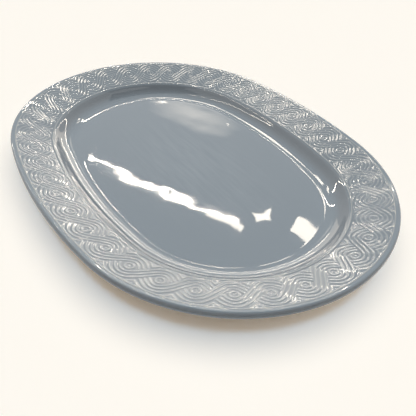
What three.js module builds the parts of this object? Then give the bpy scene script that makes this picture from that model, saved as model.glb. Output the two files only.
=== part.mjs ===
// Oval serving platter in glazed stoneware. It is a pressed clay body standing on a bare foot ring, a coat of glaze
// over its back, lip and face, and a second patch of glaze in the recess inside the foot. The rim carries a guilloche
// in low relief: two raised bands that swing to and fro and cross between a row of eyes.
// Millimetres, +Z up, long axis along X, origin on the table under the middle of the platter.
import * as THREE from "three";

// Driving dimensions of the finished platter
const LENGTH = 356;
const WIDTH = 267;
const HEIGHT = 31;
const END_RADIUS = 129; // plan radius of the two round ends, at the lip's outer edge
const RIM_WIDTH = 34; // lip's outer edge to the shoulder, level with the table
const RIM_RISE = 11; // lip's top above the shoulder
const WALL_RUN = 9; // shoulder to the foot of the well's wall, level with the table
const COVE = 10.5; // foot of the wall to the level floor, over which the wall curves out
const LIP_THICKNESS = 6.4;
const LIP_ROUNDING = 1.2; // radius of the lip's upper edge
const BODY_THICKNESS = 5.8; // rim and wall, square to the surface
const FLOOR_THICKNESS = 6;
const FLOOR_DISH = 0.8; // the middle of the floor below its edge
const FOOT_HEIGHT = 3.5; // depth of the recess inside the foot ring
const FOOT_WIDTH = 6;
const FOOT_DRAFT = 0.6; // lean of each side of the foot ring
const GLAZE = 0.5; // thickness of the glaze
const GLAZE_LINE = 1.8; // height at which the glaze stops on the foot ring

// Where the wall's straight stretch ends, as shares of the wall from its foot to the shoulder
const FACE_COVE = 0.7;
const FACE_SHOULDER = 0.85;
const BACK_FILLET = 0.2;
const BACK_SHOULDER = 0.6;

// Ornament on the rim, between the plain lip and a raised line above the shoulder
const BAND_OUTER = 3.4; // lip's outer edge to the ornament
const BAND_WIDTH = 28.2;
const EYES = 40;
const EYE_HEIGHT = 6; // across the rim
const SWING = 8.6; // how far a raised band swings from the row of eyes
const RIDGE_WIDTH = 6.6; // width of a raised band, square to it
const RELIEF = 0.55; // height of bands and eyes
const BEAD_WIDTH = 1.6;
const BEAD_HEIGHT = 0.5;

const COLUMNS = 2 * EYES; // facets round the oval, with a column at each eye and at each crossing
const CURVE_STEPS = 2; // facets in each curved stretch of the section

// Plan of the lip: two end arcs and two flatter side arcs, tangent where they meet
const HALF_LENGTH = LENGTH / 2;
const HALF_WIDTH = WIDTH / 2;
const END_CENTRE = HALF_LENGTH - END_RADIUS;
const SIDE_RADIUS = (END_CENTRE ** 2 + HALF_WIDTH ** 2 - END_RADIUS ** 2) / (2 * (HALF_WIDTH - END_RADIUS));
const SIDE_CENTRE = SIDE_RADIUS - HALF_WIDTH;
const MEETING_ANGLE = Math.atan2(SIDE_CENTRE, END_CENTRE);
const MID_RIM = RIM_WIDTH / 2; // the columns are evenly spaced along the middle of the rim
const END_STRETCH = (END_RADIUS - MID_RIM) * MEETING_ANGLE;
const SIDE_STRETCH = (SIDE_RADIUS - MID_RIM) * (Math.PI / 2 - MEETING_ANGLE);
const RIM_LENGTH = 4 * (END_STRETCH + SIDE_STRETCH);

// Direction of the lip's outward normal, part of the way along the first quarter of the oval
function quarterAngle(share) {
  const along = share * (END_STRETCH + SIDE_STRETCH);
  if (along < END_STRETCH) return along / (END_RADIUS - MID_RIM);
  return MEETING_ANGLE + (along - END_STRETCH) / (SIDE_RADIUS - MID_RIM);
}

// The same for a share of the whole way round: each quarter mirrors the one before it
function normalAngle(turn) {
  const quarter = Math.floor(turn * 4);
  const share = turn * 4 - quarter;
  const start = (quarter * Math.PI) / 2;
  return quarter % 2 ? start + Math.PI / 2 - quarterAngle(1 - share) : start + quarterAngle(share);
}

// Point of the plan whose section stands at the given radius on the short axis. Outside the well's edge it keeps
// its distance from the lip, so the rim is equally wide all round. Inside, the oval shrinks to the middle.
const WELL_EDGE = HALF_WIDTH - RIM_WIDTH - WALL_RUN - COVE;
function planPoint(turn, radius) {
  const angle = normalAngle(turn);
  const inset = HALF_WIDTH - Math.max(radius, WELL_EDGE);
  const onEnd = Math.abs(Math.sin(angle)) <= Math.sin(MEETING_ANGLE);
  const reach = (onEnd ? END_RADIUS : SIDE_RADIUS) - inset;
  const point = new THREE.Vector2(Math.cos(angle), Math.sin(angle)).multiplyScalar(reach);
  if (onEnd) point.x += Math.sign(Math.cos(angle)) * END_CENTRE;
  else point.y -= Math.sign(Math.sin(angle)) * SIDE_CENTRE;
  return point.multiplyScalar(Math.min(radius / WELL_EDGE, 1));
}

// Corners of the clay's section across the short axis: x is the distance from the axis, y the height
const at = (radius, height) => new THREE.Vector2(radius, height);
const CLAY_LIP = LIP_THICKNESS - 2 * GLAZE;
const CLAY_WALL = BODY_THICKNESS - 2 * GLAZE;
const LIP_EDGE = HALF_WIDTH - GLAZE;
const LIP_TOP = HEIGHT - GLAZE;
const LIP_CREST = at(LIP_EDGE - LIP_ROUNDING, LIP_TOP);
const FLOOR_MIDDLE = FOOT_HEIGHT + FLOOR_THICKNESS - GLAZE;
const SHOULDER = at(HALF_WIDTH - RIM_WIDTH, LIP_TOP - RIM_RISE);
const WALL_FOOT = at(SHOULDER.x - WALL_RUN, FLOOR_MIDDLE + FLOOR_DISH);
const FOOT_OUTER = WALL_FOOT.x + FOOT_DRAFT;
const FOOT_INNER = FOOT_OUTER - FOOT_WIDTH;

// Points on the straight stretches of the rim's face, the rim's underside, the well's wall and that wall's back
const RIM_SLOPE = RIM_RISE / (LIP_CREST.x - SHOULDER.x);
const onRim = (radius) => at(radius, SHOULDER.y + (radius - SHOULDER.x) * RIM_SLOPE);
const underRim = (radius, thickness) => at(radius, onRim(radius).y - thickness * Math.hypot(1, RIM_SLOPE));
const onWall = (share) => WALL_FOOT.clone().lerp(SHOULDER, share);
const WALL_NORMAL = at(SHOULDER.y - WALL_FOOT.y, WALL_FOOT.x - SHOULDER.x).normalize();
const behindWall = (share) => onWall(share).addScaledVector(WALL_NORMAL, CLAY_WALL);

// Recess inside the foot, from the middle out and down to the glaze line
const INNER_LINE = at(FOOT_INNER - FOOT_DRAFT / 2, GLAZE_LINE);
function recessSection() {
  const top = FOOT_HEIGHT + GLAZE;
  const corner = at(FOOT_INNER - FOOT_DRAFT, top);
  return new THREE.Path()
    .moveTo(0, top)
    .lineTo(corner.x - FOOT_HEIGHT, top)
    .quadraticCurveTo(...corner, ...INNER_LINE)
    .getPoints(CURVE_STEPS);
}

// Bare foot ring, from the inner glaze line under to the outer one
const OUTER_LINE = at(FOOT_OUTER + FOOT_DRAFT / 2, GLAZE_LINE);
function footSection() {
  const rounding = FOOT_WIDTH / 6;
  return new THREE.Path()
    .moveTo(...INNER_LINE)
    .quadraticCurveTo(FOOT_INNER, 0, FOOT_INNER + rounding, 0)
    .lineTo(FOOT_OUTER - rounding, 0)
    .quadraticCurveTo(FOOT_OUTER, 0, ...OUTER_LINE)
    .getPoints(CURVE_STEPS);
}

// Glazed clay from the outer glaze line up the back, over the lip, down the rim and wall, and in to the middle
const BAND_START = onRim(HALF_WIDTH - BAND_OUTER);
const BAND_END = onRim(BAND_START.x - BAND_WIDTH);
function coatedSection() {
  const beadTop = onRim(BAND_END.x - BEAD_WIDTH / 2).add(at(0, BEAD_HEIGHT));
  const footCorner = behindWall(-CLAY_WALL / 2 / WALL_RUN);
  const floorRing = WELL_EDGE / 2;
  return new THREE.Path()
    .moveTo(...OUTER_LINE)
    .quadraticCurveTo(...footCorner, ...behindWall(BACK_FILLET))
    .lineTo(...behindWall(BACK_SHOULDER))
    .quadraticCurveTo(...behindWall(1), ...underRim(SHOULDER.x + WALL_RUN, CLAY_WALL))
    .lineTo(...underRim(LIP_EDGE - CLAY_LIP, CLAY_LIP))
    .quadraticCurveTo(LIP_EDGE, LIP_TOP - CLAY_LIP, LIP_EDGE, LIP_TOP - CLAY_LIP / 2)
    .quadraticCurveTo(LIP_EDGE, LIP_TOP, ...LIP_CREST)
    .lineTo(...BAND_START)
    .lineTo(...BAND_END)
    .lineTo(...beadTop)
    .lineTo(...onRim(BAND_END.x - BEAD_WIDTH))
    .quadraticCurveTo(...SHOULDER, ...onWall(FACE_SHOULDER))
    .lineTo(...onWall(FACE_COVE))
    .quadraticCurveTo(...WALL_FOOT, WELL_EDGE, WALL_FOOT.y)
    .lineTo(floorRing, FLOOR_MIDDLE + FLOOR_DISH / 4)
    .lineTo(0, FLOOR_MIDDLE)
    .getPoints(CURVE_STEPS);
}

// The section moved square to itself by the glaze's thickness, away from the clay
function glazedOver(section) {
  const last = section.length - 1;
  return section.map((point, i) => {
    const along = section[Math.min(i + 1, last)].clone().sub(section[Math.max(i - 1, 0)]).normalize();
    if (point.x === 0) along.set(Math.sign(along.x), 0);
    return new THREE.Vector2(point.x + along.y * GLAZE, point.y - along.x * GLAZE);
  });
}

// A section carried round the oval: turned on the axis first, then each column pushed out to the oval's plan.
// Where the section runs along clay, its facets are split along the clay's own diagonals, so both sides coincide.
function ovalGeometry(section, clay = []) {
  const geometry = new THREE.LatheGeometry(section, COLUMNS);
  const position = geometry.getAttribute("position");
  for (let i = 0; i < position.count; i++) {
    const column = Math.floor(i / section.length) % COLUMNS;
    const { x: radius, y: height } = section[i % section.length];
    const plan = planPoint(column / COLUMNS, radius);
    position.setXYZ(i, plan.x, plan.y, height);
  }
  for (let column = 0; column < COLUMNS; column++) {
    for (let point = 0; point < section.length - 1; point++) {
      if (!clay.includes(section[point]) || !clay.includes(section[point + 1])) continue;
      const here = column * section.length + point;
      const next = here + section.length;
      const facet = 6 * (column * (section.length - 1) + point);
      geometry.index.array.set([here, next, next + 1, here, next + 1, here + 1], facet);
    }
  }
  geometry.computeVertexNormals();
  return geometry;
}

// Rows of the guilloche from its outer side to the row of eyes: distance from that row, and height. A raised band
// follows a cosine wave, and where the wave is steep its feet lie further apart.
const STEEPEST = (SWING * Math.PI * EYES) / RIM_LENGTH;
const BESIDE = SWING * Math.SQRT1_2; // the wave halfway from an eye to a crossing
const FOOT_AT_EYE = RIDGE_WIDTH / 2;
const FOOT_BESIDE = FOOT_AT_EYE * Math.hypot(1, STEEPEST * Math.SQRT1_2);
const FOOT_AT_CROSSING = FOOT_AT_EYE * Math.hypot(1, STEEPEST);
const EYE_FOOT = EYE_HEIGHT / 2;
const EYE_ROWS = [[SWING + FOOT_AT_EYE, 0], [SWING, RELIEF], [SWING - FOOT_AT_EYE, 0], [EYE_FOOT, 0], [0, RELIEF]];
const BESIDE_ROWS = [[BESIDE + FOOT_BESIDE, 0], [BESIDE, RELIEF], [BESIDE - FOOT_BESIDE, 0], [0, 0], [0, 0]];
const CROSSING_ROWS = [[FOOT_AT_CROSSING, 0], [0, RELIEF], [0, RELIEF], [0, RELIEF], [0, RELIEF]];
const REPEAT = [EYE_ROWS, BESIDE_ROWS, CROSSING_ROWS, BESIDE_ROWS];

// The coat's geometry with the guilloche in place of the plain facets between two points of its section. Each column
// of the guilloche runs from the ring at the first point to the ring at the second. Rows that meet share a corner.
function withGuilloche(geometry, section, first) {
  const positions = [...geometry.getAttribute("position").array];
  const isPlainBand = (i) => Math.floor(i / 6) % (section.length - 1) === first;
  const facets = [...geometry.index.array].filter((corner, i) => !isPlainBand(i));
  const middle = BAND_START.x - BAND_WIDTH / 2;
  const rimNormal = at(-RIM_SLOPE, 1).normalize();
  const columns = [];
  const count = EYES * REPEAT.length;
  for (let i = 0; i < count; i++) {
    const rows = REPEAT[i % REPEAT.length];
    const mirrored = rows.slice(0, -1).map(([distance, height]) => [-distance, height]);
    const ring = Math.floor((i * COLUMNS) / count) * section.length + first;
    const column = [ring];
    let lastOffset;
    for (const [offset, height] of [...rows, ...mirrored.toReversed()]) {
      if (offset !== lastOffset) {
        const { x: radius, y: top } = onRim(middle + offset).addScaledVector(rimNormal, GLAZE + height);
        const plan = planPoint(i / count, radius);
        positions.push(plan.x, plan.y, top);
      }
      column.push(positions.length / 3 - 1);
      lastOffset = offset;
    }
    columns.push([...column, ring + 1]);
  }
  columns.forEach((column, i) => {
    const next = columns[(i + 1) % columns.length];
    for (let row = 0; row < column.length - 1; row++) {
      const near = [column[row], next[row], column[row + 1]];
      const far = [next[row], next[row + 1], column[row + 1]];
      for (const corners of [near, far]) if (new Set(corners).size === 3) facets.push(...corners);
    }
  });
  const relief = new THREE.BufferGeometry();
  relief.setAttribute("position", new THREE.Float32BufferAttribute(positions, 3));
  relief.setIndex(facets);
  relief.computeVertexNormals();
  return relief;
}

const recess = recessSection();
const foot = footSection();
const coated = coatedSection();

// Pale fired clay, seen only where the foot ring is bare
function clayBody() {
  const clay = new THREE.MeshStandardMaterial({ color: 0xd8cdbb, roughness: 0.85, metalness: 0 });
  const mesh = new THREE.Mesh(ovalGeometry([...recess, ...foot.slice(1), ...coated.slice(1)]), clay);
  mesh.name = "clay_body";
  return mesh;
}

const glaze = new THREE.MeshStandardMaterial({ color: 0x8f989f, roughness: 0.12, metalness: 0 });

// Blue-grey glaze over the back, the lip and the whole face
function glazeCoat() {
  const section = [...coated.toReversed(), ...glazedOver(coated)];
  const bandStart = coated.length + coated.findIndex((point) => point.equals(BAND_START));
  const mesh = new THREE.Mesh(withGuilloche(ovalGeometry(section, coated), section, bandStart), glaze);
  mesh.name = "glaze_coat";
  return mesh;
}

// The same glaze in the recess, cut off from the rest by the bare foot ring
function recessGlaze() {
  const mesh = new THREE.Mesh(ovalGeometry([...glazedOver(recess), ...recess.toReversed()], recess), glaze);
  mesh.name = "recess_glaze";
  return mesh;
}

const platter = new THREE.Group();
platter.add(clayBody(), glazeCoat(), recessGlaze());
export default platter;
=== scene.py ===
"""Oval serving platter in glazed stoneware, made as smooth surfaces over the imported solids.

The clay is one pressed body on a bare foot ring. A blue-grey glaze covers its back, lip and face, and a
second coat lies in the recess inside the foot. The rim carries a guilloche in low relief: two bands of
raised lines that weave over and under each other round a row of eyes.
"""
import math

import bpy
import numpy as np
from bpy.props import FloatProperty, FloatVectorProperty, IntProperty, PointerProperty
from mathutils import Matrix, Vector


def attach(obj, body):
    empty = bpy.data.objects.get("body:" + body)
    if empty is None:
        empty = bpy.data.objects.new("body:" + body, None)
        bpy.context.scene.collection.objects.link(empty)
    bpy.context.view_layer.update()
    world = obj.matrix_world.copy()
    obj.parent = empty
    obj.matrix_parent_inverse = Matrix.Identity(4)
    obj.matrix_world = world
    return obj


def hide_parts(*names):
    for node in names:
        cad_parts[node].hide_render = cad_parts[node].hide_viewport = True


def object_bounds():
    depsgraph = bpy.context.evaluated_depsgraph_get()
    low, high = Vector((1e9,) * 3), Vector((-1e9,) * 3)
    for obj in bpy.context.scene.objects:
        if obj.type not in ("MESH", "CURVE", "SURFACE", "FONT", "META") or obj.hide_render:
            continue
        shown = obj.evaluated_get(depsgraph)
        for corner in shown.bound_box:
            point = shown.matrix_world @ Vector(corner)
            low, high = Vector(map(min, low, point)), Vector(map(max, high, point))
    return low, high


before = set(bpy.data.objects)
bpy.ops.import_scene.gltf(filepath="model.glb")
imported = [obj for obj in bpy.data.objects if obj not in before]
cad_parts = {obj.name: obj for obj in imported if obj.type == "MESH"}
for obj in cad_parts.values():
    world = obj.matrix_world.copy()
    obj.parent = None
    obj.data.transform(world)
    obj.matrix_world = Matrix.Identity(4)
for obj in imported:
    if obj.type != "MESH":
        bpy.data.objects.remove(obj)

CAD_LOW, CAD_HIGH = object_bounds()
MM = 0.001
IMAGE_WIDTH = 416
SENSOR_WIDTH = 36.0

# Strength and colour of the even light from all round, and the room that eye and gloss see in its place
FILL = 0.08
FILL_COLOUR = (0.86, 0.95, 1.0)
ROOM_COLOUR = (1.0, 0.98, 0.95)

# Half the table's side in metres, and the share of its colour in shade that shows without any light
TABLE_REACH = 4.0
TABLE_GLOW = 0.18

# Lamps for the table alone: azimuth, elevation and breadth in degrees, then irradiance and colour
TABLE_LAMPS = {
    "table_daylight": (320.0, 71.0, 10.0, 0.88, (0.36, 0.68, 1.0)),
    "table_lamplight": (10.0, 86.0, 78.0, 2.34, (1.0, 0.89, 0.74)),
}

# What stands round the platter: azimuth, elevation, width, height and lean in degrees, distance in metres,
# then radiance for all but the black card
SOFTBOX = (147.0, 72.0, 34.0, 34.0, 0.0, 3.0, 9.0)
FLAG = (0.0, 80.0, 62.0, 36.0, 0.0, 3.0)
HAZE = (145.8, 29.2, 14.5, 3.6, -17.7, 2.95, 3.0)
PANES = {
    "pane_high": (155.3, 49.0, 7.6, 4.2, 0.0, 3.0, 15.0),
    "pane_left": (156.0, 36.3, 11.8, 0.22, -31.0, 3.0, 90.0),
    "pane_knot": (156.6, 36.0, 3.2, 0.65, -31.0, 2.99, 14.0),
    "pane_right": (143.6, 40.6, 11.8, 0.18, -19.0, 3.0, 70.0),
    "pane_wide": (138.9, 42.1, 5.4, 0.9, -19.0, 2.99, 15.0),
    "pane_small": (132.1, 40.9, 2.6, 1.7, 20.0, 3.0, 15.0),
    "pane_end": (123.8, 41.9, 3.3, 2.1, -15.0, 3.0, 14.0),
    "pane_turn": (163.0, 43.5, 9.0, 2.0, 0.0, 3.0, 14.0),
    "pane_arm": (182.0, 31.0, 22.0, 0.8, -39.5, 3.0, 45.0),
    "pane_side": (220.5, 57.0, 0.7, 38.0, 0.0, 3.0, 30.0),
    "pane_dash": (151.3, 27.8, 2.2, 0.1, 0.0, 3.0, 14.0),
    "pane_fleck": (140.8, 30.3, 0.4, 0.12, -30.0, 2.99, 14.0),
    "pane_glow": (140.0, 12.0, 38.0, 24.0, 0.0, 3.0, 1.8),
    "bar_low": (137.0, 11.0, 18.0, 0.5, 0.0, 2.98, 40.0),
    "bar_high": (128.0, 23.5, 42.0, 0.5, 0.0, 2.98, 40.0),
}
SOFT_COLOUR = (1.0, 0.96, 0.9)
PANE_COLOUR = (1.0, 0.89, 0.75)

bl_info = {
    "name": "Oval Serving Platter",
    "version": (1, 0, 0),
    "blender": (4, 5, 0),
    "location": "3D View > Sidebar > Platter",
    "description": "Glazed stoneware platter with a guilloche in relief on its rim",
    "category": "Add Mesh",
}


def linear(code):
    """The linear colour of an sRGB hex code such as #8a949c."""
    shares = np.array([int(code[i : i + 2], 16) for i in (1, 3, 5)]) / 255
    return tuple(np.where(shares <= 0.04045, shares / 12.92, ((shares + 0.055) / 1.055) ** 2.4))


def size(name, millimetres, words):
    """A length property that is written in millimetres and kept in metres."""
    return FloatProperty(name=name, description=words, default=millimetres * MM, unit="LENGTH", precision=5)


def degrees(name, value, words):
    """An angle property that is written in degrees and kept in radians."""
    return FloatProperty(name=name, description=words, default=math.radians(value), subtype="ANGLE")


def whole(name, value, least, words):
    """A property that is a whole number, not below the least."""
    return IntProperty(name=name, description=words, default=value, min=least)


def colour(name, code, words):
    """A colour property from an sRGB hex code."""
    return FloatVectorProperty(name=name, description=words, default=linear(code), subtype="COLOR", size=3)


class PlatterForm(bpy.types.PropertyGroup):
    """Sizes of the finished platter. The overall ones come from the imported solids."""

    length: size("Length", (CAD_HIGH.x - CAD_LOW.x) / MM, "Lip to lip along the long axis")
    width: size("Width", (CAD_HIGH.y - CAD_LOW.y) / MM, "Lip to lip across the short axis")
    height: size("Height", (CAD_HIGH.z - CAD_LOW.z) / MM, "Table to the top of the lip")
    end_radius: size("End radius", 129, "Plan radius of the two round ends at the lip")
    rim_width: size("Rim width", 34, "Lip to shoulder, level with the table")
    rim_rise: size("Rim rise", 11, "Top of the lip above the shoulder")
    wall_run: size("Wall run", 9, "Shoulder to the foot of the well's wall, level with the table")
    cove: size("Cove", 10.5, "Foot of the wall to the level floor, over which the wall curves out")
    lip_thickness: size("Lip thickness", 6.4, "Thickness of the lip over its glaze")
    lip_rounding: size("Lip rounding", 1.2, "Radius of the upper edge of the lip")
    body_thickness: size("Body thickness", 5.8, "Thickness of rim and wall over their glaze")
    floor_thickness: size("Floor thickness", 6, "Thickness of the floor over its glaze")
    floor_dish: size("Floor dish", 0.8, "Middle of the floor below its edge")
    foot_height: size("Foot height", 3.5, "Depth of the recess inside the foot ring")
    foot_width: size("Foot width", 6, "Width of the foot ring")
    foot_draft: size("Foot draft", 0.6, "Lean of each side of the foot ring")
    glaze: size("Glaze", 0.5, "Thickness of the glaze")
    glaze_line: size("Glaze line", 1.8, "Height at which the glaze stops on the foot ring")
    unevenness: size("Unevenness", 0.03, "Height of the floor's longest swells above and below its true form")
    columns: whole("Columns", 240, 24, "Facets round the oval")


class GuillocheBand(bpy.types.PropertyGroup):
    """Sizes of the ornament on the rim."""

    inset: size("Inset", 3.4, "Lip's outer edge to the band")
    width: size("Width", 28.2, "Width of the band, level with the table")
    repeats: whole("Eyes", 40, 4, "Eyes round the rim")
    swing: size("Swing", 8.6, "How far a woven band swings to each side of the row of eyes")
    pitch: size("Line pitch", 2.85, "Spacing of the raised lines")
    relief: size("Relief", 0.36, "Height of the raised lines")
    bead_width: size("Bead width", 1.6, "Width of the raised line above the shoulder")
    bead_height: size("Bead height", 0.5, "Height of the raised line above the shoulder")
    fineness: whole("Fineness", 6, 1, "Columns of the band for each column of the oval")


class PlatterFinish(bpy.types.PropertyGroup):
    """Colours of the glaze and the clay."""

    glaze_even: colour("Glaze", "#84919d", "Glaze of even thickness")
    glaze_thin_and_highlight: colour("Thin glaze", "#c0c1be", "Glaze that runs thin over a raised line or an edge")
    # Also painted highlight on the crests of the raised lines of the rim
    glaze_pooled_and_shaded: colour("Pooled glaze", "#727c85", "Glaze that pools in a groove")
    # Also painted shade between the raised lines of the rim, over the back and on the lip's outer side
    glaze_wiped: colour("Wiped glaze", "#9fabb6", "Faint marks left by wiping along the floor")
    # Painted shade, warmer and a little darker, on steep faces such as the well's wall and the lip's outer
    # side
    steep_face_shade: colour("Drained glaze", "#848d96", "Glaze left on a steep wall, where the clay warms it")
    clay_body: colour("Clay", "#cdbfa9", "Fired clay of the bare foot ring")
    clay_grit: colour("Grit", "#8f7c63", "Grit in the clay")


class StudioView(bpy.types.PropertyGroup):
    """Where the photograph was taken from, and the colours of the table."""

    azimuth: degrees("Azimuth", 52.6, "Round from -Y")
    elevation: degrees("Elevation", 40.63, "Above level")
    roll: degrees("Roll", 3.92, "Tilt of the camera about its line of sight")
    distance: size("Distance", 299.2, "Camera to the point that it is aimed at")
    focal_pixels: FloatProperty(name="Focal length", description="In pixels of the image", default=430.8)
    aim_along: size("Aim along", 74.5, "Point aimed at, along the long axis at lip height")
    aim_across: size("Aim across", -35.8, "Point aimed at, along the short axis at lip height")
    table_lit: colour("Lit table", "#f3f3f3", "What the table sends back of the light")
    table_shade: colour("Table in shade", "#ffdcae", "What is left of the table's colour under the platter")


def oval(form, turn, radius):
    """Plan of the platter: x and y at a share of the way round and a radius on the short axis.

    The lip is two end arcs and two flatter side arcs that meet at a tangent. Shares are even along the middle
    of the rim. A line outside the floor keeps its distance from the lip, and inside it the oval shrinks to
    the middle.
    """
    half_length, half_width = form.length / 2, form.width / 2
    end_centre = half_length - form.end_radius
    side_radius = (end_centre**2 + half_width**2 - form.end_radius**2) / (2 * (half_width - form.end_radius))
    side_centre = side_radius - half_width
    meeting = math.atan2(side_centre, end_centre)
    mid_end, mid_side = form.end_radius - form.rim_width / 2, side_radius - form.rim_width / 2
    end_run = mid_end * meeting
    quarter_run = end_run + mid_side * (math.pi / 2 - meeting)

    quarter = np.floor(turn * 4)
    mirrored = quarter % 2 == 1
    share = turn * 4 - quarter
    along = np.where(mirrored, 1 - share, share) * quarter_run
    angle = np.where(along < end_run, along / mid_end, meeting + (along - end_run) / mid_side)
    angle = quarter * math.pi / 2 + np.where(mirrored, math.pi / 2 - angle, angle)

    edge = floor_edge(form)
    on_end = np.abs(np.sin(angle)) <= math.sin(meeting)
    reach = np.where(on_end, form.end_radius, side_radius) - half_width + np.maximum(radius, edge)
    x = reach * np.cos(angle) + np.where(on_end, np.sign(np.cos(angle)) * end_centre, 0)
    y = reach * np.sin(angle) - np.where(on_end, 0, np.sign(np.sin(angle)) * side_centre)
    shrink = np.minimum(radius / edge, 1)
    return x * shrink, y * shrink


def floor_edge(form):
    """Radius on the short axis at which the dished floor ends and the cove begins."""
    return form.width / 2 - form.rim_width - form.wall_run - form.cove


def straight(start, end, steps):
    """Points of a straight stretch, after its start."""
    share = np.linspace(0, 1, steps + 1)[1:, None]
    return start + (end - start) * share


def bend(start, corner, end, steps):
    """Points of a stretch that bends round a corner as a parabola, after its start."""
    share = np.linspace(0, 1, steps + 1)[1:, None]
    return (1 - share) ** 2 * start + 2 * share * (1 - share) * corner + share**2 * end


class ClaySection:
    """The clay's section across the short axis. A point is its distance from the axis and its height."""

    floor_rings = 30

    def __init__(self, form, band):
        self.form = form
        self.lip = form.lip_thickness - 2 * form.glaze
        self.wall = form.body_thickness - 2 * form.glaze
        self.lip_edge = form.width / 2 - form.glaze
        self.lip_top = form.height - form.glaze
        self.floor_middle = form.foot_height + form.floor_thickness - form.glaze
        self.shoulder = np.array([form.width / 2 - form.rim_width, self.lip_top - form.rim_rise])
        self.wall_foot = np.array([self.shoulder[0] - form.wall_run, self.floor_middle + form.floor_dish])
        self.foot_outer = self.wall_foot[0] + form.foot_draft
        self.foot_inner = self.foot_outer - form.foot_width
        self.lip_crest = np.array([self.lip_edge - form.lip_rounding, self.lip_top])
        self.rim_slope = form.rim_rise / (self.lip_crest[0] - self.shoulder[0])
        self.inner_line = np.array([self.foot_inner - form.foot_draft / 2, form.glaze_line])
        self.outer_line = np.array([self.foot_outer + form.foot_draft / 2, form.glaze_line])
        self.band_outer = form.width / 2 - band.inset
        self.band_inner = self.band_outer - band.width - band.bead_width

    def on_rim(self, radius):
        """The face of the rim at a radius, on the straight line from the shoulder to the lip's crest."""
        return np.array([radius, self.shoulder[1] + (radius - self.shoulder[0]) * self.rim_slope])

    def under_rim(self, radius, thickness):
        """The back of the rim at a radius, for a thickness that is measured square to its face."""
        return self.on_rim(radius) - np.array([0, thickness * math.hypot(1, self.rim_slope)])

    def on_wall(self, share):
        """The straight line that the well's wall is rounded from: its foot at 0, the shoulder at 1."""
        return self.wall_foot + (self.shoulder - self.wall_foot) * share

    def behind_wall(self, share):
        """The back of the wall, square behind the same share of that line."""
        rise = self.shoulder - self.wall_foot
        away = np.array([rise[1], -rise[0]]) / np.linalg.norm(rise)
        return self.on_wall(share) + away * self.wall

    def recess(self):
        """Recess inside the foot, from the middle out and down to the glaze line."""
        top = self.form.foot_height + self.form.glaze
        middle = np.array([0, top])
        corner = np.array([self.foot_inner - self.form.foot_draft, top])
        bay = corner - np.array([self.form.foot_height, 0])
        return np.vstack([middle, straight(middle, bay, 8), bend(bay, corner, self.inner_line, 14)])

    def foot(self):
        """Bare foot ring, from the inner glaze line under to the outer one."""
        rounding = self.form.foot_width / 6
        inner, outer = np.array([self.foot_inner, 0]), np.array([self.foot_outer, 0])
        step = np.array([rounding, 0])
        return np.vstack([
            self.inner_line,
            bend(self.inner_line, inner, inner + step, 6),
            straight(inner + step, outer - step, 4),
            bend(outer - step, outer, self.outer_line, 6),
        ])

    def back(self):
        """From the outer glaze line up the back and over the lip to the outer edge of the band."""
        foot_corner = self.behind_wall(-self.wall / 2 / self.form.wall_run)
        rim_root = self.under_rim(self.shoulder[0] + self.form.wall_run, self.wall)
        lip_root = self.under_rim(self.lip_edge - self.lip, self.lip)
        lip_side = np.array([self.lip_edge, self.lip_top - self.lip / 2])
        return np.vstack([
            self.outer_line,
            bend(self.outer_line, foot_corner, self.behind_wall(0.2), 12),
            straight(self.behind_wall(0.2), self.behind_wall(0.6), 3),
            bend(self.behind_wall(0.6), self.behind_wall(1), rim_root, 8),
            straight(rim_root, lip_root, 5),
            bend(lip_root, np.array([self.lip_edge, self.lip_top - self.lip]), lip_side, 7),
            bend(lip_side, np.array([self.lip_edge, self.lip_top]), self.lip_crest, 8),
            straight(self.lip_crest, self.on_rim(self.band_outer), 3),
        ])

    def rows_of_band(self, rows):
        """From the band's outer edge down the rim past the bead, after its start."""
        return straight(self.on_rim(self.band_outer), self.on_rim(self.band_inner), rows)

    def well(self):
        """From the bead over the shoulder, down the wall and in to the floor's middle, after its start.

        The floor is dished as a parabola.
        """
        edge = np.array([floor_edge(self.form), self.wall_foot[1]])
        distances = edge[0] * np.linspace(1, 0, self.floor_rings + 1)[1:]
        dish = self.floor_middle + self.form.floor_dish * (distances / edge[0]) ** 2
        return np.vstack([
            bend(self.on_rim(self.band_inner), self.shoulder, self.on_wall(0.85), 7),
            straight(self.on_wall(0.85), self.on_wall(0.7), 2),
            bend(self.on_wall(0.7), self.wall_foot, edge, 16),
            np.stack([distances, dish], axis=1),
        ])


def outward(points):
    """Unit normals of a section, away from the clay: its direction turned a quarter to the right."""
    along = np.gradient(points, axis=0)
    along[points[:, 0] == 0, 1] = 0
    along /= np.linalg.norm(along, axis=1)[:, None]
    return np.stack([along[:, 1], -along[:, 0]], axis=1)


def run_along(points):
    """Distance along a section from its first point to each of its points."""
    return np.concatenate([[0], np.cumsum(np.linalg.norm(np.diff(points, axis=0), axis=1))])


def coat_thickness(points, glaze):
    """Thickness of the glaze along a section that starts at the glaze line.

    It swells from nothing as a quarter circle does, rolls a little thicker just above the line as a bell
    curve, then stays even.
    """
    roll_place, roll_breadth, roll_height = 2 * glaze, 1.5 * glaze, 0.4
    run = run_along(points)
    swell = np.sqrt(1 - (1 - np.clip(run / glaze, 0, 1)) ** 2)
    roll = roll_height * np.exp(-(((run - roll_place) / roll_breadth) ** 2))
    return glaze * swell * (1 + roll)


def smooth_step(low, high, value):
    """0 below low, 1 above high, and a smooth rise between."""
    share = np.clip((value - low) / (high - low), 0, 1)
    return share * share * (3 - 2 * share)


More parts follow.
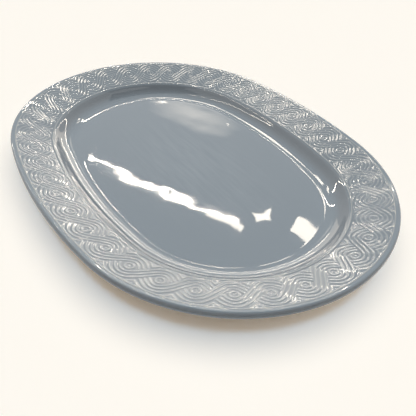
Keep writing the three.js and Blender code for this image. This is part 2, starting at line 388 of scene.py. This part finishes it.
def guilloche(band, turn, across, period):
    """Height of the ornament, from 0 to 1, on a grid of shares round the rim and distances out from the eyes.

    Each band follows a cosine wave and is three raised lines wide. Between two eyes the bands cross, and each
    goes over and under by turns. An eye is a boss in a ring. Beside a crossing lie a chevron, one line
    further out, and a seed. A single line bounds the ornament at the lip.
    """
    phase = (turn * band.repeats)[None, :]
    across = across[:, None]
    pitch, half = band.pitch, 1.5 * band.pitch
    wave = band.swing * np.cos(math.pi * phase)
    slant = np.hypot(1, band.swing * math.pi / period * np.sin(math.pi * phase))
    first, second = np.abs(across - wave) / slant, np.abs(across + wave) / slant
    first_over = np.floor(phase) % 2 == 0
    over, under = np.where(first_over, first, second), np.where(first_over, second, first)

    def lines(distance, count):
        """Raised lines one pitch apart, from the middle to the given count of pitches."""
        crest = (0.5 + 0.5 * np.cos(2 * math.pi * distance / pitch)) ** 3
        return np.where(distance < count * pitch, crest, 0)

    # The band below fades in over a quarter of a pitch beside the one above, and the field over a tenth
    clear = smooth_step(half, half + 0.25 * pitch, over)
    free = clear * smooth_step(half, half + 0.1 * pitch, under)

    # Eyes on the middle line, and chevrons and seeds beside the crossings
    from_eye = (phase - np.round(phase)) * period
    from_crossing = (phase - np.floor(phase) - 0.5) * period
    outer = np.abs(across)
    beside = outer > band.swing / 2
    eye = lines(np.hypot(from_eye, across), 1.5)
    nearest = np.minimum(first, second)
    chevron = np.where(beside & (nearest > half), lines(nearest, 2.5), 0)
    seed_place, seed_length, seed_growth = 1.35 * band.swing, 0.8, 0.9
    seed = lines(np.hypot(from_crossing, seed_length * (outer - seed_place)) * seed_growth, 0.5)
    field = np.where(beside, np.maximum(chevron, seed), eye)

    # The woven part fades out at both margins, and a narrower line follows the outer one
    woven = lines(over, 1.5) + lines(under, 1.5) * clear + field * free
    margin = band.width / 2
    woven = woven * (1 - smooth_step(margin - 0.5 * pitch, margin - 0.2 * pitch, outer))
    border_place, border_narrowing = margin - 0.25 * pitch, 1.6
    border = lines(np.abs(across - border_place) * border_narrowing, 0.5) * (across > 0)
    return np.maximum(woven, border)


def softened(height):
    """The relief as the glaze rounds it: a sixth of each neighbour, first round the rim and then across."""
    round_rim = (np.roll(height, 1, axis=1) + 4 * height + np.roll(height, -1, axis=1)) / 6
    padded = np.pad(round_rim, ((1, 1), (0, 0)), mode="edge")
    return (padded[:-2] + 4 * padded[1:-1] + padded[2:]) / 6


def rings(form, points, columns):
    """A section's points carried round the oval: a ring of positions for each, or one point on the axis."""
    turn = np.arange(columns) / columns
    x, y = oval(form, turn[None, :], points[:, :1])
    grid = np.stack([x, y, np.broadcast_to(points[:, 1:], x.shape)], axis=2)
    return [row[:1] if radius == 0 else row for row, radius in zip(grid, points[:, 0])]


def faces_between(low, low_count, high, high_count):
    """Faces from one ring to the next. Where one ring is finer, each face takes in several of its edges."""
    to_point = 1 in (low_count, high_count)
    count = max(low_count, high_count) if to_point else min(low_count, high_count)
    here = np.arange(count)
    after = (here + 1) % count
    if low_count == 1:
        return np.stack([np.full(count, low), high + after, high + here], axis=1)
    if high_count == 1:
        return np.stack([low + here, low + after, np.full(count, high)], axis=1)
    along_low = low_count // count * here[:, None] + np.arange(low_count // count + 1)
    along_high = high_count // count * here[:, None] + np.arange(high_count // count + 1)
    return np.hstack([low + along_low % low_count, high + along_high[:, ::-1] % high_count])


def loft(name, layers, **values):
    """A mesh object through a list of rings, which start and end on the axis.

    The named values are written to its vertices, for its material to read.
    """
    counts = [len(layer) for layer in layers]
    starts = np.concatenate([[0], np.cumsum(counts)])
    faces = []
    for i in range(len(layers) - 1):
        faces += faces_between(starts[i], counts[i], starts[i + 1], counts[i + 1]).tolist()
    mesh = bpy.data.meshes.new(name)
    mesh.from_pydata(np.vstack(layers).tolist(), [], faces)
    mesh.shade_smooth()
    for key, value in values.items():
        mesh.attributes.new(key, "FLOAT", "POINT").data.foreach_set("value", value.astype(np.float32))
    piece = bpy.data.objects.new(name, mesh)
    bpy.context.scene.collection.objects.link(piece)
    return piece


def pooling(points):
    """How deep the glaze lies along a section: above 0 where the clay is hollow, below 0 over an edge.

    It is the turn of the section in radians for each millimetre of its length, averaged over five points.
    A turn below the least counts as none, and what goes beyond it is doubled and held within 1.
    """
    window, least, gain = 5, 0.3, 2
    along = np.gradient(points, axis=0)
    heading = np.unwrap(np.arctan2(along[:, 1], along[:, 0]))
    turning = -np.gradient(heading, run_along(points)) * MM
    padded = np.pad(turning, window // 2, mode="edge")
    spread = np.convolve(padded, np.ones(window) / window, mode="valid")
    return np.clip(np.sign(spread) * np.maximum(np.abs(spread) - least, 0) * gain, -1, 1)


def uneven(form, x, y):
    """Swells of the floor: six waves that cross, two each about 45, 22 and 11 mm long, the shorter the lower.

    A number under x or y is the length of a wave in millimetres over two pi.
    """
    x, y = x / MM, y / MM
    long = np.sin(x / 7 + 1.3 * np.sin(y / 11)) + np.sin(y / 6.5 - x / 15)
    short = np.sin(x / 3.6 + y / 9 + 2) + np.sin(y / 3.3 - x / 6 + 1)
    ripple = np.sin(x / 1.9 + 1.5 * np.sin(y / 4.1)) + np.sin(y / 1.7 - x / 5.3 + 1.5 * np.sin(x / 3.7))
    return form.unevenness * (long + 0.4 * short + 0.12 * ripple) / 2


def settle(piece, node, material):
    """Gives a piece its material and lets it ride in place of its solid."""
    piece.data.materials.append(material)
    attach(piece, "root")
    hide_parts(node)


def add_node(tree, kind, settings, links=()):
    """Adds a node, sets its sockets and options, and links sockets of earlier nodes to its own."""
    node = tree.nodes.new(kind)
    for key, value in settings.items():
        if isinstance(key, int) or key in node.inputs:
            node.inputs[key].default_value = value
        else:
            setattr(node, key, value)
    for key, source in dict(links).items():
        tree.links.new(source, node.inputs[key])
    return node


def new_material(name):
    """A material with an empty node tree, and that tree."""
    material = bpy.data.materials.new(name)
    material.use_nodes = True
    material.node_tree.nodes.clear()
    return material, material.node_tree


def opaque(linear_colour):
    """A colour with full alpha, as colour sockets take it."""
    return (*linear_colour, 1)


def seen_directly(tree):
    """1 for a ray from the eye, or one that gloss or glass sends on, and 0 for rays that carry soft light."""
    path = add_node(tree, "ShaderNodeLightPath", {})
    seen = path.outputs["Is Camera Ray"]
    for ray in ("Is Glossy Ray", "Is Transmission Ray"):
        either = add_node(tree, "ShaderNodeMath", {"operation": "MAXIMUM"}, {0: seen, 1: path.outputs[ray]})
        seen = either.outputs[0]
    return seen


def wiped_marks(tree, place):
    """Strength of the marks left by wiping to and fro along the floor, from none at its edge.

    They are noise that is fine across the wiping and longer along it, stronger towards the middle.
    """
    grain, stretch, strongest = 4 * MM, 10, 0.4
    edge, middle, flattening = 65 * MM, 10 * MM, 0.6
    stroke = add_node(tree, "ShaderNodeMapping", {"Scale": (1 / stretch, 1, 0)}, {"Vector": place}).outputs[0]
    noise = add_node(
        tree, "ShaderNodeTexNoise", {"Scale": 1 / grain, "Detail": 3.0, "Distortion": 0.6}, {"Vector": stroke}
    )
    mark = add_node(
        tree, "ShaderNodeMapRange", {"From Min": 0.3, "From Max": 0.8, "To Max": strongest},
        {"Value": noise.outputs["Fac"]},
    )
    level = add_node(tree, "ShaderNodeMapping", {"Scale": (flattening, 1, 0)}, {"Vector": place}).outputs[0]
    reach = add_node(tree, "ShaderNodeVectorMath", {"operation": "LENGTH"}, {0: level}).outputs["Value"]
    inside = add_node(tree, "ShaderNodeMapRange", {"From Min": edge, "From Max": middle}, {"Value": reach})
    return add_node(
        tree, "ShaderNodeMath", {"operation": "MULTIPLY"}, {0: mark.outputs[0], 1: inside.outputs[0]}
    ).outputs[0]


def stoneware_glaze(finish):
    """Glossy feldspar glaze, dipped and fired: smooth as glass over slow swells.

    It is paler where it breaks over an edge and darker where it pools in a hollow. On the rim it is paler on
    the raised lines and darker between them, partly from thin and pooled glaze and partly as painted
    highlight and painted shade.
    The back and the lip's outer side are darker as painted shade, steep faces take a warmer painted shade,
    and the floor has faint wiped marks.
    """
    material, tree = new_material("dipped_gloss_glaze")
    place = add_node(tree, "ShaderNodeTexCoord", {}).outputs["Object"]
    depth = add_node(tree, "ShaderNodeAttribute", {"attribute_name": "glaze_depth"}).outputs["Fac"]
    # Paler where the glaze is thin, and as painted highlight on the crests of the raised lines
    thin = add_node(tree, "ShaderNodeMapRange", {"From Min": 0.0, "From Max": -1.0}, {"Value": depth})
    # Darker where the glaze pools, and as painted shade between the raised lines, on the back and on the
    # lip's outer side
    pooled_and_shaded = add_node(tree, "ShaderNodeMapRange", {"From Min": 0.0, "From Max": 1.0}, {"Value": depth})
    cloud = add_node(tree, "ShaderNodeTexNoise", {"Scale": 1 / (60 * MM), "Detail": 3.0}, {"Vector": place})
    even = add_node(
        tree, "ShaderNodeMix",
        {"data_type": "RGBA", 6: opaque(finish.glaze_even), 7: opaque(finish.glaze_wiped)},
        {0: wiped_marks(tree, place)},
    )
    # Painted shade on steep faces
    steep = add_node(tree, "ShaderNodeAttribute", {"attribute_name": "steep_face_shade"}).outputs["Fac"]
    steep_shade = add_node(
        tree, "ShaderNodeMix", {"data_type": "RGBA", 7: opaque(finish.steep_face_shade)},
        {0: steep, 6: even.outputs[2]},
    )
    thin_and_highlight_mix = add_node(
        tree, "ShaderNodeMix", {"data_type": "RGBA", 7: opaque(finish.glaze_thin_and_highlight)},
        {0: thin.outputs[0], 6: steep_shade.outputs[2]},
    )
    pooled_and_shaded_mix = add_node(
        tree, "ShaderNodeMix", {"data_type": "RGBA", 7: opaque(finish.glaze_pooled_and_shaded)},
        {0: pooled_and_shaded.outputs[0], 6: thin_and_highlight_mix.outputs[2]},
    )
    swell = add_node(
        tree, "ShaderNodeBump", {"Strength": 0.15, "Distance": 0.3 * MM}, {"Height": cloud.outputs["Fac"]}
    )
    shader = add_node(
        tree, "ShaderNodeBsdfPrincipled", {"Roughness": 0.028, "IOR": 1.52},
        {"Base Color": pooled_and_shaded_mix.outputs[2], "Normal": swell.outputs["Normal"]},
    )
    add_node(tree, "ShaderNodeOutputMaterial", {}, {"Surface": shader.outputs[0]})
    return material


def bare_stoneware(finish):
    """Fired buff clay, sponged at the foot: matt, with fine grit."""
    material, tree = new_material("bare_buff_stoneware")
    place = add_node(tree, "ShaderNodeTexCoord", {}).outputs["Object"]
    grit = add_node(tree, "ShaderNodeTexNoise", {"Scale": 1 / (0.9 * MM), "Detail": 4.0}, {"Vector": place})
    spots = add_node(
        tree, "ShaderNodeMapRange", {"From Min": 0.55, "From Max": 0.75}, {"Value": grit.outputs["Fac"]}
    )
    tone = add_node(
        tree, "ShaderNodeMix",
        {"data_type": "RGBA", 6: opaque(finish.clay_body), 7: opaque(finish.clay_grit)},
        {0: spots.outputs[0]},
    )
    grain = add_node(
        tree, "ShaderNodeBump", {"Strength": 0.4, "Distance": 0.2 * MM}, {"Height": grit.outputs["Fac"]}
    )
    shader = add_node(
        tree, "ShaderNodeBsdfPrincipled", {"Roughness": 0.85},
        {"Base Color": tone.outputs[2], "Normal": grain.outputs["Normal"]},
    )
    add_node(tree, "ShaderNodeOutputMaterial", {}, {"Surface": shader.outputs[0]})
    return material


class PLATTER_OT_clay_body(bpy.types.Operator):
    """Makes the clay body, whose bare foot ring shows under the glaze"""

    bl_idname = "platter.clay_body"
    bl_label = "Clay Body"

    # Rows across the band, which is plain under its glaze
    band_rows = 12

    def execute(self, context):
        form, band = context.scene.platter_form, context.scene.platter_band
        section = ClaySection(form, band)
        below = [section.recess(), section.foot()[1:], section.back()[1:]]
        points = np.vstack([*below, section.rows_of_band(self.band_rows), section.well()])
        piece = loft("clay_body_visual", rings(form, points, form.columns))
        settle(piece, "clay_body", bare_stoneware(context.scene.platter_finish))
        return {"FINISHED"}


class PLATTER_OT_glaze_coat(bpy.types.Operator):
    """Makes the glaze over the back, the lip and the face, with the relief on its rim"""

    bl_idname = "platter.glaze_coat"
    bl_label = "Glaze Coat"

    # Rows across the band, and how many times coarser the hidden side on the clay is in rows and in columns
    band_rows = 48
    hidden_rows = 4
    hidden_columns = 3

    # Shares of the pooled and thin colours, on the scale of pooling: painted shade on the back; pooled glaze
    # and painted shade between the raised lines; thin glaze and painted highlight on them
    painted_shade_on_back = 0.6
    groove_pool_and_shade = 0.5
    crest_thin_and_highlight = -0.75

    # Lean, as 1 less the upright part of a normal, at which the painted shade on steep faces begins and is
    # whole
    steep_shade_from = 0.05
    steep_shade_whole_at = 0.25

    # Distances in from the floor's edge at which its swells begin and at which they are whole
    swells_from = -2 * MM
    swells_whole = 8 * MM

    def execute(self, context):
        form, band = context.scene.platter_form, context.scene.platter_band
        section = ClaySection(form, band)
        back, rim, well = section.back(), section.rows_of_band(self.band_rows), section.well()
        on_back = slice(0, len(back))
        on_rim = slice(len(back), len(back) + len(rim))
        in_well = slice(len(back) + len(rim), None)
        clay = np.vstack([back, rim, well])
        normals = outward(clay)
        glazed = clay + normals * coat_thickness(clay, form.glaze)[:, None]
        depth = pooling(clay)
        # The back and the lip's outer side, below the lip's rounding, take the darker pooled colour as
        # painted shade
        depth[on_back] = self.painted_shade_on_back * (back[:, 1] < section.lip_top - form.lip_rounding)
        # Steep faces, such as the well's wall, the lip's outer side and the back, take a warmer painted shade
        steep = smooth_step(self.steep_shade_from, self.steep_shade_whole_at, 1 - np.abs(normals[:, 1]))

        # The hidden side, from the middle of the floor back to the glaze line
        layers = rings(form, clay[: 0 : -self.hidden_rows], form.columns // self.hidden_columns)
        pools_and_shades = [np.zeros(sum(map(len, layers)))]
        steep_shade = [np.zeros(sum(map(len, layers)))]

        # The back and the lip
        layers += rings(form, glazed[on_back], form.columns)
        pools_and_shades.append(np.repeat(depth[on_back], form.columns))
        steep_shade.append(np.repeat(steep[on_back], form.columns))

        # The band, raised along its normals by the height of the ornament
        fine = form.columns * band.fineness
        relief, height = self.relief(form, band, glazed[on_rim, 0], fine)
        base = rings(form, glazed[on_rim], fine)
        above = rings(form, glazed[on_rim] + normals[on_rim] * MM, fine)
        layers += [low + (high - low) / MM * rise[:, None] for low, high, rise in zip(base, above, height)]
        # Darker between the raised lines and paler on them: partly pooled and thin glaze, partly painted
        # shade and painted highlight
        pools_and_shades.append((self.groove_pool_and_shade + (self.crest_thin_and_highlight - self.groove_pool_and_shade) * relief).ravel())
        steep_shade.append(np.repeat(steep[on_rim], fine))

        # The well, with its floor in swells
        floor = rings(form, glazed[in_well], form.columns)
        level = smooth_step(self.swells_from, self.swells_whole, floor_edge(form) - glazed[in_well, 0])
        for ring, share in zip(floor, level):
            ring[:, 2] += share * uneven(form, ring[:, 0], ring[:, 1])
        layers += floor
        counts = [len(ring) for ring in floor]
        pools_and_shades.append(np.repeat(depth[in_well], counts))
        steep_shade.append(np.repeat(steep[in_well], counts))

        values = {"glaze_depth": np.concatenate(pools_and_shades), "steep_face_shade": np.concatenate(steep_shade)}
        piece = loft("glaze_coat_visual", layers, **values)
        settle(piece, "glaze_coat", stoneware_glaze(context.scene.platter_finish))
        return {"FINISHED"}

    def relief(self, form, band, radius, fine):
        """The ornament from 0 to 1, and its height with the bead's, for each row and column of the band."""
        turn = np.arange(fine) / fine
        all_but_round = 1 - 1e-9
        middle = form.width / 2 - band.inset - band.width / 2
        x, y = oval(form, np.append(turn, all_but_round), np.full(fine + 1, middle))
        period = np.hypot(np.diff(x), np.diff(y)).sum() / band.repeats
        ornament = softened(guilloche(band, turn, radius - middle, period))
        bead_place = middle - band.width / 2 - band.bead_width / 2
        from_bead = np.clip(np.abs(radius - bead_place) / (band.bead_width / 2), 0, 1)
        bead = (0.5 + 0.5 * np.cos(math.pi * from_bead))[:, None]
        return np.maximum(ornament, bead), ornament * band.relief + bead * band.bead_height


class PLATTER_OT_recess_glaze(bpy.types.Operator):
    """Makes the glaze in the recess inside the foot ring"""

    bl_idname = "platter.recess_glaze"
    bl_label = "Recess Glaze"

    # How deep the glaze lies, on the scale of pooling
    depth = 0.1

    def execute(self, context):
        form, band = context.scene.platter_form, context.scene.platter_band
        clay = ClaySection(form, band).recess()
        thickness = coat_thickness(clay[::-1], form.glaze)[::-1]
        glazed = clay + outward(clay) * thickness[:, None]
        layers = rings(form, glazed, form.columns) + rings(form, clay[::-1], form.columns)[1:]
        pools_and_shades = np.full(sum(map(len, layers)), self.depth)
        piece = loft("recess_glaze_visual", layers, glaze_depth=pools_and_shades)
        settle(piece, "recess_glaze", bpy.data.materials["dipped_gloss_glaze"])
        return {"FINISHED"}


class PLATTER_OT_stage(bpy.types.Operator):
    """Makes the pale table, the lamps and cards, the even light and the camera"""

    bl_idname = "platter.stage"
    bl_label = "Stage"

    def execute(self, context):
        studio = context.scene.platter_studio
        pieces = [piece for piece in context.scene.objects if piece.type == "MESH"]
        self.lights(pieces, self.table(studio))
        self.sky(context.scene)
        self.camera(context.scene, studio)
        context.scene.view_settings.view_transform = "Standard"
        return {"FINISHED"}

    def table(self, studio):
        """A wide level sheet under the foot ring."""
        corners = np.array([[-1, -1, 0], [1, -1, 0], [1, 1, 0], [-1, 1, 0]]) * TABLE_REACH
        mesh = bpy.data.meshes.new("table")
        mesh.from_pydata(corners.tolist(), [], [[0, 1, 2, 3]])
        material, tree = new_material("warm_white_table")
        lit = add_node(tree, "ShaderNodeBsdfDiffuse", {"Color": opaque(studio.table_lit)})
        share = add_node(
            tree, "ShaderNodeMath", {"operation": "MULTIPLY", 1: TABLE_GLOW}, {0: seen_directly(tree)}
        )
        glow = add_node(
            tree, "ShaderNodeEmission", {"Color": opaque(studio.table_shade)}, {"Strength": share.outputs[0]}
        )
        shader = add_node(tree, "ShaderNodeAddShader", {}, {0: lit.outputs[0], 1: glow.outputs[0]})
        add_node(tree, "ShaderNodeOutputMaterial", {}, {"Surface": shader.outputs[0]})
        mesh.materials.append(material)
        table = bpy.data.objects.new("table", mesh)
        bpy.context.scene.collection.objects.link(table)
        return table

    def facing(self, azimuth, elevation, lean, reach):
        """A place round the platter at the given angles in degrees and distance, turned to face it."""
        turn = Matrix.Rotation(math.radians(azimuth + 90), 4, "Z")
        tilt = Matrix.Rotation(math.radians(90 - elevation), 4, "X")
        roll = Matrix.Rotation(math.radians(lean), 4, "Z")
        return turn @ tilt @ roll @ Matrix.Translation((0, 0, reach))

    def place(self, name, data, facing):
        """An object out of the eye's sight."""
        thing = bpy.data.objects.new(name, data)
        thing.matrix_world = facing
        thing.visible_camera = False
        bpy.context.scene.collection.objects.link(thing)
        return thing

    def pane(self, name, tint, azimuth, elevation, width, height, lean, reach, radiance):
        """A bright rectangle, of a size given in degrees as seen from the platter."""
        light = bpy.data.lights.new(name, "AREA")
        light.shape = "RECTANGLE"
        light.color = tint
        light.size = reach * math.radians(width)
        light.size_y = reach * math.radians(height)
        light.energy = radiance * math.pi * light.size * light.size_y
        return self.place(name, light, self.facing(azimuth, elevation, lean, reach))

    def far_lamp(self, name, azimuth, elevation, breadth, irradiance, tint):
        """A round lamp so far off that it lights the whole table alike."""
        light = bpy.data.lights.new(name, "SUN")
        light.color = tint
        light.angle = math.radians(breadth)
        light.energy = irradiance
        return self.place(name, light, self.facing(azimuth, elevation, 0, 1))

    def light_only(self, lamp, lit):
        """Keeps a lamp's light to some objects, and out of their gloss."""
        lamp.visible_glossy = False
        lamp.light_linking.receiver_collection = bpy.data.collections.new(lamp.name)
        for receiver in lit:
            lamp.light_linking.receiver_collection.objects.link(receiver)

    def lights(self, pieces, table):
        """A softbox for the platter and two lamps for the table, then what only the gloss shows.

        That is the panes, a black card and a glow.
        """
        self.light_only(self.pane("softbox", SOFT_COLOUR, *SOFTBOX), pieces)
        for name, setting in TABLE_LAMPS.items():
            self.light_only(self.far_lamp(name, *setting), [table])
        for name, setting in PANES.items():
            self.pane(name, PANE_COLOUR, *setting).visible_diffuse = False
        self.flag(*FLAG)
        self.haze(*HAZE)

    def card(self, name, material, azimuth, elevation, width, height, lean, reach):
        """A card of a size given in degrees as seen from the platter, which only the gloss sees."""
        across = reach * math.radians(width) / 2
        up = reach * math.radians(height) / 2
        corners = [(-across, -up, 0), (across, -up, 0), (across, up, 0), (-across, up, 0)]
        mesh = bpy.data.meshes.new(name)
        mesh.from_pydata(corners, [], [(0, 1, 2, 3)])
        mesh.materials.append(material)
        sheet = self.place(name, mesh, self.facing(azimuth, elevation, lean, reach))
        sheet.visible_diffuse = False
        sheet.visible_shadow = False

    def flag(self, *placing):
        """A black card overhead, which darkens the far wall."""
        material, tree = new_material("black_card")
        black = add_node(tree, "ShaderNodeBsdfDiffuse", {"Color": opaque((0, 0, 0))})
        add_node(tree, "ShaderNodeOutputMaterial", {}, {"Surface": black.outputs[0]})
        self.card("flag", material, *placing)

    def haze(self, azimuth, elevation, width, height, lean, reach, radiance):
        """A glow over the far side that fades from its middle to nothing at its edge."""
        material, tree = new_material("soft_glow")
        place = add_node(tree, "ShaderNodeTexCoord", {}).outputs["Object"]
        halves = (2 / reach / math.radians(width), 2 / reach / math.radians(height), 0)
        unit = add_node(tree, "ShaderNodeMapping", {"Scale": halves}, {"Vector": place}).outputs[0]
        fade = add_node(tree, "ShaderNodeTexGradient", {"gradient_type": "SPHERICAL"}, {"Vector": unit})
        strength = add_node(
            tree, "ShaderNodeMath", {"operation": "MULTIPLY", 1: radiance}, {0: fade.outputs["Fac"]}
        ).outputs[0]
        glow = add_node(tree, "ShaderNodeEmission", {"Color": opaque(PANE_COLOUR)}, {"Strength": strength})
        clear = add_node(tree, "ShaderNodeBsdfTransparent", {})
        shader = add_node(tree, "ShaderNodeAddShader", {}, {0: glow.outputs[0], 1: clear.outputs[0]})
        add_node(tree, "ShaderNodeOutputMaterial", {}, {"Surface": shader.outputs[0]})
        self.card("haze", material, azimuth, elevation, width, height, lean, reach)

    def sky(self, scene):
        """Even soft light from all round. Eye and gloss see a plain white room in its place."""
        world = bpy.data.worlds.new("studio")
        world.use_nodes = True
        tree = world.node_tree
        tree.nodes.clear()
        light = add_node(tree, "ShaderNodeBackground", {"Color": opaque(FILL_COLOUR), "Strength": FILL})
        room = add_node(tree, "ShaderNodeBackground", {"Color": opaque(ROOM_COLOUR), "Strength": 1.0})
        shown = add_node(
            tree, "ShaderNodeMixShader", {}, {0: seen_directly(tree), 1: light.outputs[0], 2: room.outputs[0]}
        )
        add_node(tree, "ShaderNodeOutputWorld", {}, {"Surface": shown.outputs[0]})
        scene.world = world

    def camera(self, scene, studio):
        """A camera turned about its aim by azimuth and elevation, then rolled about its line of sight."""
        view = bpy.data.cameras.new("photograph")
        view.sensor_width = SENSOR_WIDTH
        view.lens = studio.focal_pixels / IMAGE_WIDTH * SENSOR_WIDTH
        turn = Matrix.Rotation(studio.azimuth, 4, "Z")
        tilt = Matrix.Rotation(math.pi / 2 - studio.elevation, 4, "X")
        roll = Matrix.Rotation(studio.roll, 4, "Z")
        aim = Matrix.Translation((studio.aim_along, studio.aim_across, CAD_HIGH.z))
        camera = bpy.data.objects.new("photograph", view)
        camera.matrix_world = aim @ turn @ tilt @ roll @ Matrix.Translation((0, 0, studio.distance))
        scene.collection.objects.link(camera)
        scene.camera = camera


class PLATTER_PT_panel(bpy.types.Panel):
    """Lists the platter's pieces and its settings"""

    bl_label = "Platter"
    bl_space_type = "VIEW_3D"
    bl_region_type = "UI"
    bl_category = "Platter"

    def draw(self, context):
        for operator in PIECES:
            self.layout.operator(operator.bl_idname)
        for group in SETTINGS:
            box = self.layout.box()
            settings = getattr(context.scene, group)
            for name in settings.__annotations__:
                box.prop(settings, name)


PIECES = (PLATTER_OT_clay_body, PLATTER_OT_glaze_coat, PLATTER_OT_recess_glaze, PLATTER_OT_stage)
SETTINGS = {
    "platter_form": PlatterForm,
    "platter_band": GuillocheBand,
    "platter_finish": PlatterFinish,
    "platter_studio": StudioView,
}


def register():
    for group in SETTINGS.values():
        bpy.utils.register_class(group)
    for name, group in SETTINGS.items():
        setattr(bpy.types.Scene, name, PointerProperty(type=group))
    for operator in PIECES:
        bpy.utils.register_class(operator)
    bpy.utils.register_class(PLATTER_PT_panel)


def unregister():
    bpy.utils.unregister_class(PLATTER_PT_panel)
    for operator in reversed(PIECES):
        bpy.utils.unregister_class(operator)
    for name in SETTINGS:
        delattr(bpy.types.Scene, name)
    for group in reversed(list(SETTINGS.values())):
        bpy.utils.unregister_class(group)


def main():
    """Makes the pieces and the stage in order."""
    register()
    bpy.ops.platter.clay_body()
    bpy.ops.platter.glaze_coat()
    bpy.ops.platter.recess_glaze()
    bpy.ops.platter.stage()


if __name__ == "__main__":
    main()
